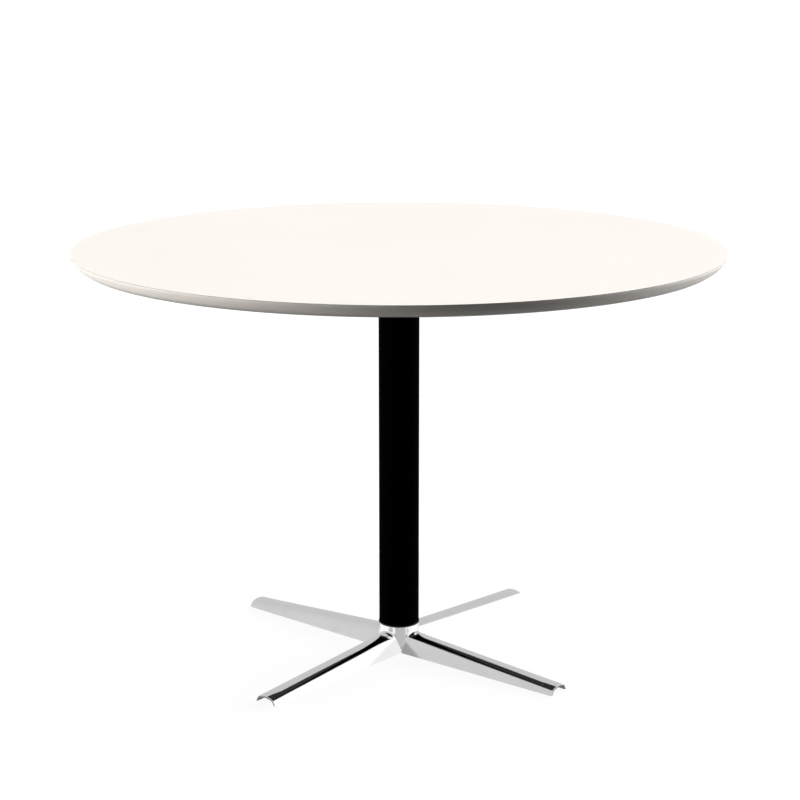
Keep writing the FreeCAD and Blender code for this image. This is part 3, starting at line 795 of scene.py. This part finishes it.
def make_glides():
    """The levelling glide under each leg."""
    for name, (x, y) in zip(LEG_NAMES, on_legs((GLIDE_RADIUS,))):
        make_pad(name, x, y)
        make_stud(name, x, y)


# ---- star base ----

FLANK_STEPS = 5
CORNER_STEPS = 4
CROWN_STEPS = 10
SHOULDER_SOFT = 2.0 * MM
# the leg wall measured sideways at the foot, and sideways and down at the shoulder
WALL_AT_FOOT = 1.06
WALL_IN_SHOULDER = 0.84
WALL_DOWN_SHOULDER = 0.63


def leg_profile(place, wall=0.0):
    """The leg's section at a distance from the axis, left foot over the top to right foot.
    With a wall thickness it is the inside of the hollow leg."""
    share = place / LEG_REACH
    foot = mix(FOOT_HALF, share) - WALL_AT_FOOT * wall
    shoulder = mix(SHOULDER_HALF, share) - WALL_IN_SHOULDER * wall
    outer_side = mix(SHOULDER_HEIGHT, share)
    side = outer_side - WALL_DOWN_SHOULDER * wall
    rise = outer_side + mix(CROWN_RISE, share) - wall - side
    radius = (shoulder ** 2 + rise ** 2) / (2 * rise)
    reach = math.asin(shoulder / radius)
    lean = (foot - shoulder) / side

    flank = Vector((foot - shoulder, -side)).normalized() * SHOULDER_SOFT
    corner = Vector((shoulder, side))
    low = corner + flank
    high_angle = reach - SHOULDER_SOFT / radius

    def on_crown(angle):
        return Vector((radius * math.sin(angle), side + rise - radius * (1 - math.cos(angle))))

    right = []
    for i in range(FLANK_STEPS):
        z = FLOOR_GAP + (low.y - FLOOR_GAP) * i / FLANK_STEPS
        right.append(Vector((foot - lean * z, z)))
    for i in range(CORNER_STEPS):
        right.append(curved(low, corner, on_crown(high_angle), i / CORNER_STEPS))
    for i in range(CROWN_STEPS + 1):
        right.append(on_crown(high_angle * (1 - i / CROWN_STEPS)))
    left = [Vector((-p.x, p.y)) for p in right[:-1]]
    return left + right[::-1]


PROFILE_POINTS = 2 * (FLANK_STEPS + CORNER_STEPS + CROWN_STEPS) + 1


def leg_point(index, place, wall=0.0):
    y, z = leg_profile(place, wall)[index]
    return Vector((place, y, z))


def steps_from_flank(index):
    """How many profile points an index lies above the flanks, counted from the nearer foot."""
    return min(index, PROFILE_POINTS - 1 - index) - FLANK_STEPS


TOP_FILLET = 5.0 * MM
FLANK_FILLET = 1.0 * MM
# how many points below and above the shoulder's corner the fillet takes to widen
FILLET_BLEND = (2, 1)
MEETING_ROUNDS = 8


def fillet_reach(index):
    """Wide rounding along the crown, narrow along the flanks, blended round the shoulder."""
    below, above = FILLET_BLEND
    share = (steps_from_flank(index) + below) / (below + CORNER_STEPS + above)
    share = min(1.0, max(0.0, share))
    share = share * share * (3 - 2 * share)
    return FLANK_FILLET + (TOP_FILLET - FLANK_FILLET) * share


def hub_meeting(index):
    """Where a profile line of the leg meets the hub's round side, or the next leg's flank."""
    place = COLUMN_RADIUS
    for _ in range(MEETING_ROUNDS):
        y = abs(leg_profile(place)[index].x)
        place = max(y, math.sqrt(max(0.0, COLUMN_RADIUS ** 2 - y ** 2)))
    return leg_point(index, place)


def unrolled(point):
    """The point on the hub's side laid out flat: the way round it, and the height."""
    return Vector((COLUMN_RADIUS * math.atan2(point.y, point.x), point.z))


def rolled(flat):
    """The point on the hub's round side for one on the unrolled hub."""
    angle = flat.x / COLUMN_RADIUS
    return Vector((COLUMN_RADIUS * math.cos(angle), COLUMN_RADIUS * math.sin(angle), flat.y))


HUB_EDGE = 0.5 * MM
LEG_ROWS = 16
# rows of points crowd towards the hub, where the leg leaves its fillet
ROW_CROWDING = 1.6
FILLET_ROWS = 7
HUB_ROWS = 8
SIDE_STEPS = 5


def hub_border(index, meeting):
    """The point on the sector's border, on the unrolled hub, that a profile line runs to."""
    edge = COLUMN_RADIUS * LEG_STEP / 2
    top = HUB_TOP - HUB_EDGE
    flat = unrolled(meeting)
    if steps_from_flank(index) <= 0:
        return Vector((math.copysign(edge, flat.x), flat.y))
    first = FLANK_STEPS
    last = PROFILE_POINTS - 1 - FLANK_STEPS
    shoulder = unrolled(hub_meeting(first)).y
    if index <= first + SIDE_STEPS:
        return Vector((-edge, shoulder + (top - shoulder) * (index - first) / SIDE_STEPS))
    if index >= last - SIDE_STEPS:
        return Vector((edge, shoulder + (top - shoulder) * (last - index) / SIDE_STEPS))
    share = (index - first - SIDE_STEPS) / (last - first - 2 * SIDE_STEPS)
    return Vector((-edge + 2 * edge * share, top))


def mirrored_across_border(point):
    """The same point on the next leg, mirrored in the plane halfway between the two."""
    return Vector((abs(point.y), math.copysign(point.x, point.y), point.z))


def hub_rows(index, meeting, away):
    """Points from the sector's border to the start of the fillet, and that fillet's start."""
    reach = fillet_reach(index)
    flat = unrolled(meeting)
    border = hub_border(index, meeting)
    on_hub = flat + away * reach
    if abs(on_hub.x) > abs(border.x):
        leg_side = leg_point(index, meeting.x + reach)
        next_side = mirrored_across_border(leg_side)
        start = (leg_side + next_side + 2 * meeting) / 4
        return [start] * HUB_ROWS, start, (meeting + leg_side) / 2
    rows = [rolled(border.lerp(on_hub, k / HUB_ROWS)) for k in range(HUB_ROWS)]
    return rows, rolled(on_hub), meeting


def outer_rows():
    """Rows of points over one sector's outside: hub border, hub, fillet, and leg to its end."""
    meetings = [hub_meeting(i) for i in range(PROFILE_POINTS)]
    flats = [unrolled(m) for m in meetings]
    columns = []
    for i in range(PROFILE_POINTS):
        before = flats[max(i - 1, 0)]
        after = flats[min(i + 1, PROFILE_POINTS - 1)]
        along = (after - before).normalized()
        away = Vector((-along.y, along.x))
        if i in (0, PROFILE_POINTS - 1):
            away = Vector((math.copysign(1.0, flats[i].x), 0.0))
        column, start, corner = hub_rows(i, meetings[i], away)
        leg_start = meetings[i].x + fillet_reach(i)
        end = leg_point(i, leg_start)
        for k in range(FILLET_ROWS):
            column.append(curved(start, corner, end, k / FILLET_ROWS))
        leg_end = LEG_REACH - END_EDGE
        for k in range(LEG_ROWS + 1):
            share = (k / LEG_ROWS) ** ROW_CROWDING
            column.append(leg_point(i, leg_start + (leg_end - leg_start) * share))
        columns.append(column)
    return columns


END_EDGE = 0.6 * MM
EDGE_STEPS = 3
INNER_ROWS = 8


def end_rows(index):
    """Over the rounded outer edge of the leg's end, across the end and round its inner edge."""
    outside = leg_point(index, LEG_REACH)
    inside = leg_point(index, LEG_REACH, LEG_WALL)
    across = (inside - outside).normalized()
    wall = (inside - outside).length
    column = []
    for k in range(1, EDGE_STEPS + 1):
        turn = math.pi / 2 * k / EDGE_STEPS
        back = END_EDGE * (1 - math.sin(turn))
        column.append(outside + across * END_EDGE * (1 - math.cos(turn)) - Vector((back, 0, 0)))
    for k in range(EDGE_STEPS + 1):
        turn = math.pi / 2 * k / EDGE_STEPS
        back = END_EDGE * (1 - math.cos(turn))
        side = wall - END_EDGE * (1 - math.sin(turn))
        column.append(outside + across * side - Vector((back, 0, 0)))
    return column


def inner_rows(index):
    column = []
    for k in range(1, INNER_ROWS + 1):
        place = LEG_REACH - END_EDGE + (HOLLOW_START - LEG_REACH + END_EDGE) * k / INNER_ROWS
        column.append(leg_point(index, place, LEG_WALL))
    return column


# the casting's two finishes: polished, and rough cast darkened with painted shade
CASTING_FINISHES = ("polished_aluminium", "cast_aluminium")
POLISHED, SHADED_CAST = 0, 1
HUB_SPIGOT_HEIGHT = 8.0 * MM
ROD_HOLE_PLAY = 0.5 * MM
RECESS_RADIUS = 26.0 * MM


def hub_bore_outline():
    """From the hub's upper edge over the spigot, down the rod hole and out to the recess."""
    spigot_top = HUB_TOP + HUB_SPIGOT_HEIGHT
    hole = ROD_RADIUS + ROD_HOLE_PLAY
    web = head_of("rod_washer")
    outline = []
    for k in range(1, EDGE_STEPS + 1):
        turn = math.pi / 2 * k / EDGE_STEPS
        outline.append((COLUMN_RADIUS - HUB_EDGE * (1 - math.cos(turn)),
                        HUB_TOP - HUB_EDGE * (1 - math.sin(turn))))
    return outline + [(SPIGOT_RADIUS, HUB_TOP), (SPIGOT_RADIUS, spigot_top), (hole, spigot_top),
                      (hole, web), (RECESS_RADIUS, web), (RECESS_RADIUS, FLOOR_GAP)]


def sector(points, faces, finishes):
    """Add one quarter of the base, along the X axis, to lists of points, faces and finishes."""
    start = len(points)
    columns = outer_rows()
    polished_rows = len(columns[0]) + EDGE_STEPS - 1
    for i, column in enumerate(columns):
        column += end_rows(i) + inner_rows(i)
    rows = len(columns[0])
    for column in columns:
        points.extend(column)

    def at(index, row):
        return start + index * rows + row

    last = PROFILE_POINTS - 1
    for i in range(last):
        for k in range(rows - 1):
            faces.append((at(i, k), at(i, k + 1), at(i + 1, k + 1), at(i + 1, k)))
            finishes.append(POLISHED if k < polished_rows else SHADED_CAST)
    faces.append([at(i, rows - 1) for i in range(PROFILE_POINTS)])
    finishes.append(SHADED_CAST)

    first_top = FLANK_STEPS + SIDE_STEPS
    ring = [at(i, 0) for i in range(first_top, last - first_top + 1)]
    bore = add_hub_bore(points, faces, finishes, ring)
    underside = list(bore)
    underside += [at(last, k) for k in range(rows)]
    underside += [at(0, k) for k in reversed(range(rows))]
    faces.append(underside)
    finishes.append(SHADED_CAST)


def add_hub_bore(points, faces, finishes, ring):
    """Add the sector's share of the hub's top and bore, from the ring of points at the hub's
    upper edge. Gives back the last ring, at the bore's foot."""
    angles = [math.atan2(points[i].y, points[i].x) for i in ring]
    for n, (radius, z) in enumerate(hub_bore_outline()):
        start = len(points)
        points.extend(Vector((radius * math.cos(a), radius * math.sin(a), z)) for a in angles)
        following = list(range(start, len(points)))
        for k in range(len(ring) - 1):
            faces.append((ring[k], ring[k + 1], following[k + 1], following[k]))
            finishes.append(POLISHED if n < EDGE_STEPS else SHADED_CAST)
        ring = following
    return ring


def base_shell():
    """The casting's whole surface: one sector for each leg, joined along their borders."""
    points, faces, finishes = [], [], []
    for leg in range(LEGS):
        start = len(points)
        sector(points, faces, finishes)
        turn = Matrix.Rotation(FIRST_LEG + LEG_STEP * leg, 4, "Z")
        points[start:] = [turn @ point for point in points[start:]]
    mesh = bpy.data.meshes.new("star_base_casting")
    mesh.from_pydata([tuple(p) for p in points], [], faces)
    for face, index in zip(mesh.polygons, finishes):
        face.material_index = index
    work = bmesh.new()
    work.from_mesh(mesh)
    bmesh.ops.remove_doubles(work, verts=work.verts, dist=2 * MERGE_DISTANCE)
    bmesh.ops.recalc_face_normals(work, faces=work.faces)
    work.to_mesh(mesh)
    work.free()
    shell = new_object("star_base_casting", mesh)
    add_materials(shell, *CASTING_FINISHES)
    return shell


RIB_HALF = 2.0 * MM
# the rib's lower edge where it leaves the hub and where it meets the glide's boss
RIB_FOOT = (13.0 * MM, 9.5 * MM)
RIB_INTO_HUB = 1.0 * MM
BOSS_RADIUS = 8.0 * MM
BOSS_FOOT = 5.5 * MM
BOSS_TOP = 15.0 * MM
STUD_HOLE_RADIUS = 4.05 * MM
STUD_HOLE_FOOT = 4.0 * MM
STUD_HOLE_TOP = 13.6 * MM


def leg_rib():
    """The upright rib along the middle of a leg's hollow, with its head inside the roof."""
    start, end = HOLLOW_START - RIB_INTO_HUB, GLIDE_RADIUS
    outline = [(start, RIB_FOOT[0]), (end, RIB_FOOT[1]),
               (end, crest_height(end) - LEG_WALL / 2), (start, crest_height(start) - LEG_WALL / 2)]
    points = [(x, y, z) for y in (-RIB_HALF, RIB_HALF) for x, z in outline]
    faces = [(0, 1, 2, 3), (4, 5, 6, 7)]
    faces += [(i, (i + 1) % 4, 4 + (i + 1) % 4, 4 + i) for i in range(4)]
    return piece_from("rib", points, faces)


def crest_height(place):
    """The height of the leg's top at a distance from the axis."""
    share = place / LEG_REACH
    return mix(SHOULDER_HEIGHT, share) + mix(CROWN_RISE, share)


def left_rough(piece):
    """Mark a piece that goes into the casting as left rough from the mould, in the dark cast finish that paints
    the shade inside the legs.
    """
    add_materials(piece, *CASTING_FINISHES)
    for face in piece.data.polygons:
        face.material_index = SHADED_CAST
    return piece


def make_star_base():
    casting = base_shell()
    for leg in range(LEGS):
        turn = FIRST_LEG + LEG_STEP * leg
        boss = prism("boss", round_outline(BOSS_RADIUS, GLIDE_RADIUS), BOSS_FOOT, BOSS_TOP)
        combine(boss, leg_rib(), "UNION")
        combine(casting, left_rough(turned(boss, turn)), "UNION")
    for leg in range(LEGS):
        outline = round_outline(STUD_HOLE_RADIUS, GLIDE_RADIUS)
        hole = prism("hole", outline, STUD_HOLE_FOOT, STUD_HOLE_TOP)
        turned(hole, FIRST_LEG + LEG_STEP * leg)
        combine(casting, left_rough(hole), "DIFFERENCE")
    sharpen(casting)
    finish(casting, "star_base")


# ---- stage ----

FLOOR_SIDE = 60.0
FLOOR_GLOW = 0.93
FLOOR_GREY = 0.15
FLOOR_ROUGHNESS = 0.9


def make_floor():
    """A plain white floor. It glows like a light table, so only the faintest shadow shows on it."""
    points = [(x * FLOOR_SIDE, y * FLOOR_SIDE, 0.0) for x, y in ((-1, -1), (1, -1), (1, 1), (-1, 1))]
    floor = new_object("floor", mesh_from("floor", points, [(0, 1, 2, 3)]))
    material = bpy.data.materials.new("floor")
    material.use_nodes = True
    shader = material.node_tree.nodes["Principled BSDF"]
    shader.inputs["Base Color"].default_value = (FLOOR_GREY, FLOOR_GREY, FLOOR_GREY, 1.0)
    shader.inputs["Roughness"].default_value = FLOOR_ROUGHNESS
    shader.inputs["Specular IOR Level"].default_value = 0.0
    shader.inputs["Emission Color"].default_value = (1.0, 1.0, 1.0, 1.0)
    shader.inputs["Emission Strength"].default_value = FLOOR_GLOW
    floor.data.materials.append(material)
    floor.visible_diffuse = False
    floor.visible_glossy = False
    floor.visible_shadow = False


# the camera's place round the table, and how its aim differs from straight at the axis
CAMERA_TURN = math.radians(-5.5)
CAMERA_DISTANCE = 3.181
CAMERA_HEIGHT = 1.2148
CAMERA_PITCH = math.radians(13.51)
CAMERA_AIM = math.radians(-0.031)
SENSOR_WIDTH = 36.0
LENS = 85.3
VIEW_LIMIT = 200.0

# brightness of the room as polished metal mirrors it
LEFT_WALL = 0.66
LEFT_FLOOR = 1.1
RIGHT_WALL = 1.15
BACK_WALL = 0.63
CEILING = 1.9
FRONT_FLOOR = 0.55
# the front wall's brightness runs from its left to its right
FRONT_WALL = (0.36, 1.1)
# where each fades in, by how far the direction looked in points right, ahead or up
LEFT_WALL_EDGE = (-0.1, -0.5)
LEFT_FLOOR_EDGE = (0.0, 0.12)
RIGHT_WALL_EDGE = (0.25, 0.8)
BACK_WALL_EDGE = (-0.1, 0.4)
CEILING_EDGE = (0.78, 0.95)
FRONT_FLOOR_EDGE = (0.05, 0.0)
FRONT_WALL_FOOT = (0.1, 0.25)
FRONT_WALL_SWEEP = (-0.35, 0.15)
FRONT_WALL_EDGE = (0.15, -0.05)

# brightness of the two tall windows that light the edge of the top, and of the rest
WINDOW = 20.0
FLOOR_LIGHT = 0.08
ROOM = 0.02
LEFT_WINDOW_EDGE = (-0.889, -1.039)
RIGHT_WINDOW_EDGE = (0.844, 1.744)
# the right window stands behind the table: this share of the way ahead counts as the way right
RIGHT_WINDOW_LEAN = 0.872
WINDOW_SILL = (-0.271, -0.221)
FLOOR_LIGHT_TOP = (-0.05, -0.35)
FLOOR_LIGHT_EDGE = (0.0, -0.5)

TOP_LAMP = 1.93
TOP_LAMP_HEIGHT = 3.0
TOP_LAMP_SPREAD = math.radians(8.0)


class Room:
    """The world's node tree: brightness worked out from the direction looked in."""

    def __init__(self):
        world = bpy.data.worlds.new("room")
        bpy.context.scene.world = world
        world.use_nodes = True
        self.tree = world.node_tree
        self.background = self.tree.nodes["Background"]
        self.background.inputs["Color"].default_value = (1.0, 1.0, 1.0, 1.0)
        place = self.tree.nodes.new("ShaderNodeTexCoord")
        turn = self.tree.nodes.new("ShaderNodeVectorRotate")
        turn.rotation_type = "Z_AXIS"
        turn.inputs["Angle"].default_value = -CAMERA_TURN
        self.tree.links.new(place.outputs["Generated"], turn.inputs["Vector"])
        split = self.tree.nodes.new("ShaderNodeSeparateXYZ")
        self.tree.links.new(turn.outputs["Vector"], split.inputs["Vector"])
        self.right, self.ahead, self.up = split.outputs

    def ramp(self, source, start, end, low, high):
        made = self.tree.nodes.new("ShaderNodeMapRange")
        made.interpolation_type = "SMOOTHSTEP"
        for slot, value in (("From Min", start), ("From Max", end), ("To Min", low), ("To Max", high)):
            made.inputs[slot].default_value = value
        self.tree.links.new(source, made.inputs["Value"])
        return made.outputs["Result"]

    def maths(self, operation, *terms):
        """One operation over two or more terms, taken in turn."""
        result = terms[0]
        for term in terms[1:]:
            made = self.tree.nodes.new("ShaderNodeMath")
            made.operation = operation
            for slot, value in enumerate((result, term)):
                if isinstance(value, float):
                    made.inputs[slot].default_value = value
                else:
                    self.tree.links.new(value, made.inputs[slot])
            result = made.outputs["Value"]
        return result


def mirrored_room(room):
    """The soft walls, ceiling and floor that mirror-bright metal sees."""
    left = room.maths("MULTIPLY", room.ramp(room.right, *LEFT_WALL_EDGE, 0.0, 1.0),
                      room.ramp(room.up, *LEFT_FLOOR_EDGE, LEFT_FLOOR, LEFT_WALL))
    right = room.ramp(room.right, *RIGHT_WALL_EDGE, 0.0, RIGHT_WALL)
    back = room.ramp(room.ahead, *BACK_WALL_EDGE, 0.0, BACK_WALL)
    over = room.ramp(room.up, *CEILING_EDGE, 0.0, CEILING)
    front_low = room.ramp(room.up, *FRONT_FLOOR_EDGE, 0.0, FRONT_FLOOR)
    front_high = room.maths("MULTIPLY", room.ramp(room.up, *FRONT_WALL_FOOT, 0.0, 1.0),
                            room.ramp(room.right, *FRONT_WALL_SWEEP, *FRONT_WALL),
                            room.ramp(room.ahead, *FRONT_WALL_EDGE, 0.0, 1.0))
    return room.maths("MAXIMUM", left, right, back, over, front_low, front_high)


def lighting_room(room):
    """The two windows and the dim room that light matt surfaces."""
    left_window = room.ramp(room.right, *LEFT_WINDOW_EDGE, 0.0, WINDOW)
    lean = room.maths("ADD", room.right, room.maths("MULTIPLY", room.ahead, RIGHT_WINDOW_LEAN))
    right_window = room.ramp(lean, *RIGHT_WINDOW_EDGE, 0.0, WINDOW)
    windows = room.maths("MULTIPLY", room.maths("MAXIMUM", left_window, right_window),
                         room.ramp(room.up, *WINDOW_SILL, 0.0, 1.0))
    floor_light = room.maths("MULTIPLY", room.ramp(room.up, *FLOOR_LIGHT_TOP, 0.0, FLOOR_LIGHT),
                             room.ramp(room.ahead, *FLOOR_LIGHT_EDGE, 0.0, 1.0))
    return room.maths("MAXIMUM", windows, floor_light, ROOM)


def make_world():
    """A white studio, which mirrors see in one way and matt surfaces are lit by in another."""
    room = Room()
    path = room.tree.nodes.new("ShaderNodeLightPath")
    choose = room.tree.nodes.new("ShaderNodeMix")
    room.tree.links.new(path.outputs["Is Glossy Ray"], choose.inputs["Factor"])
    room.tree.links.new(lighting_room(room), choose.inputs["A"])
    room.tree.links.new(mirrored_room(room), choose.inputs["B"])
    # the camera itself sees plain white past the floor's edge
    seen = room.maths("MAXIMUM", choose.outputs["Result"], path.outputs["Is Camera Ray"])
    room.tree.links.new(seen, room.background.inputs["Strength"])


def make_top_lamp():
    """A wide soft lamp straight above, which mirrors don't show."""
    light = bpy.data.lights.new("top_lamp", "SUN")
    light.energy = TOP_LAMP
    light.angle = TOP_LAMP_SPREAD
    lamp = bpy.data.objects.new("top_lamp", light)
    bpy.context.scene.collection.objects.link(lamp)
    lamp.location = (0.0, 0.0, TOP_LAMP_HEIGHT)
    lamp.visible_glossy = False


def make_camera():
    """The camera stands in front of the table, a little to its left, and looks slightly down."""
    data = bpy.data.cameras.new("camera")
    data.sensor_width = SENSOR_WIDTH
    data.lens = LENS
    data.clip_end = VIEW_LIMIT
    camera = bpy.data.objects.new("camera", data)
    bpy.context.scene.collection.objects.link(camera)
    camera.location = (CAMERA_DISTANCE * math.sin(CAMERA_TURN),
                       -CAMERA_DISTANCE * math.cos(CAMERA_TURN), CAMERA_HEIGHT)
    camera.rotation_euler = (math.pi / 2 - CAMERA_PITCH, 0.0, CAMERA_TURN + CAMERA_AIM)
    bpy.context.scene.camera = camera


def main():
    make_sheets_and_coats()
    make_metals()
    for node, piece in frame["nodes"].items():
        piece.data.materials.clear()
        piece.data.materials.append(MATERIALS[SLOT_OF[node]])
    make_top()
    make_spider()
    make_fasteners()
    make_column()
    make_star_base()
    make_glides()
    make_floor()
    make_world()
    make_top_lamp()
    make_camera()
    scene = bpy.context.scene
    scene.view_settings.view_transform = "Standard"
    scene.view_settings.look = "None"


main()
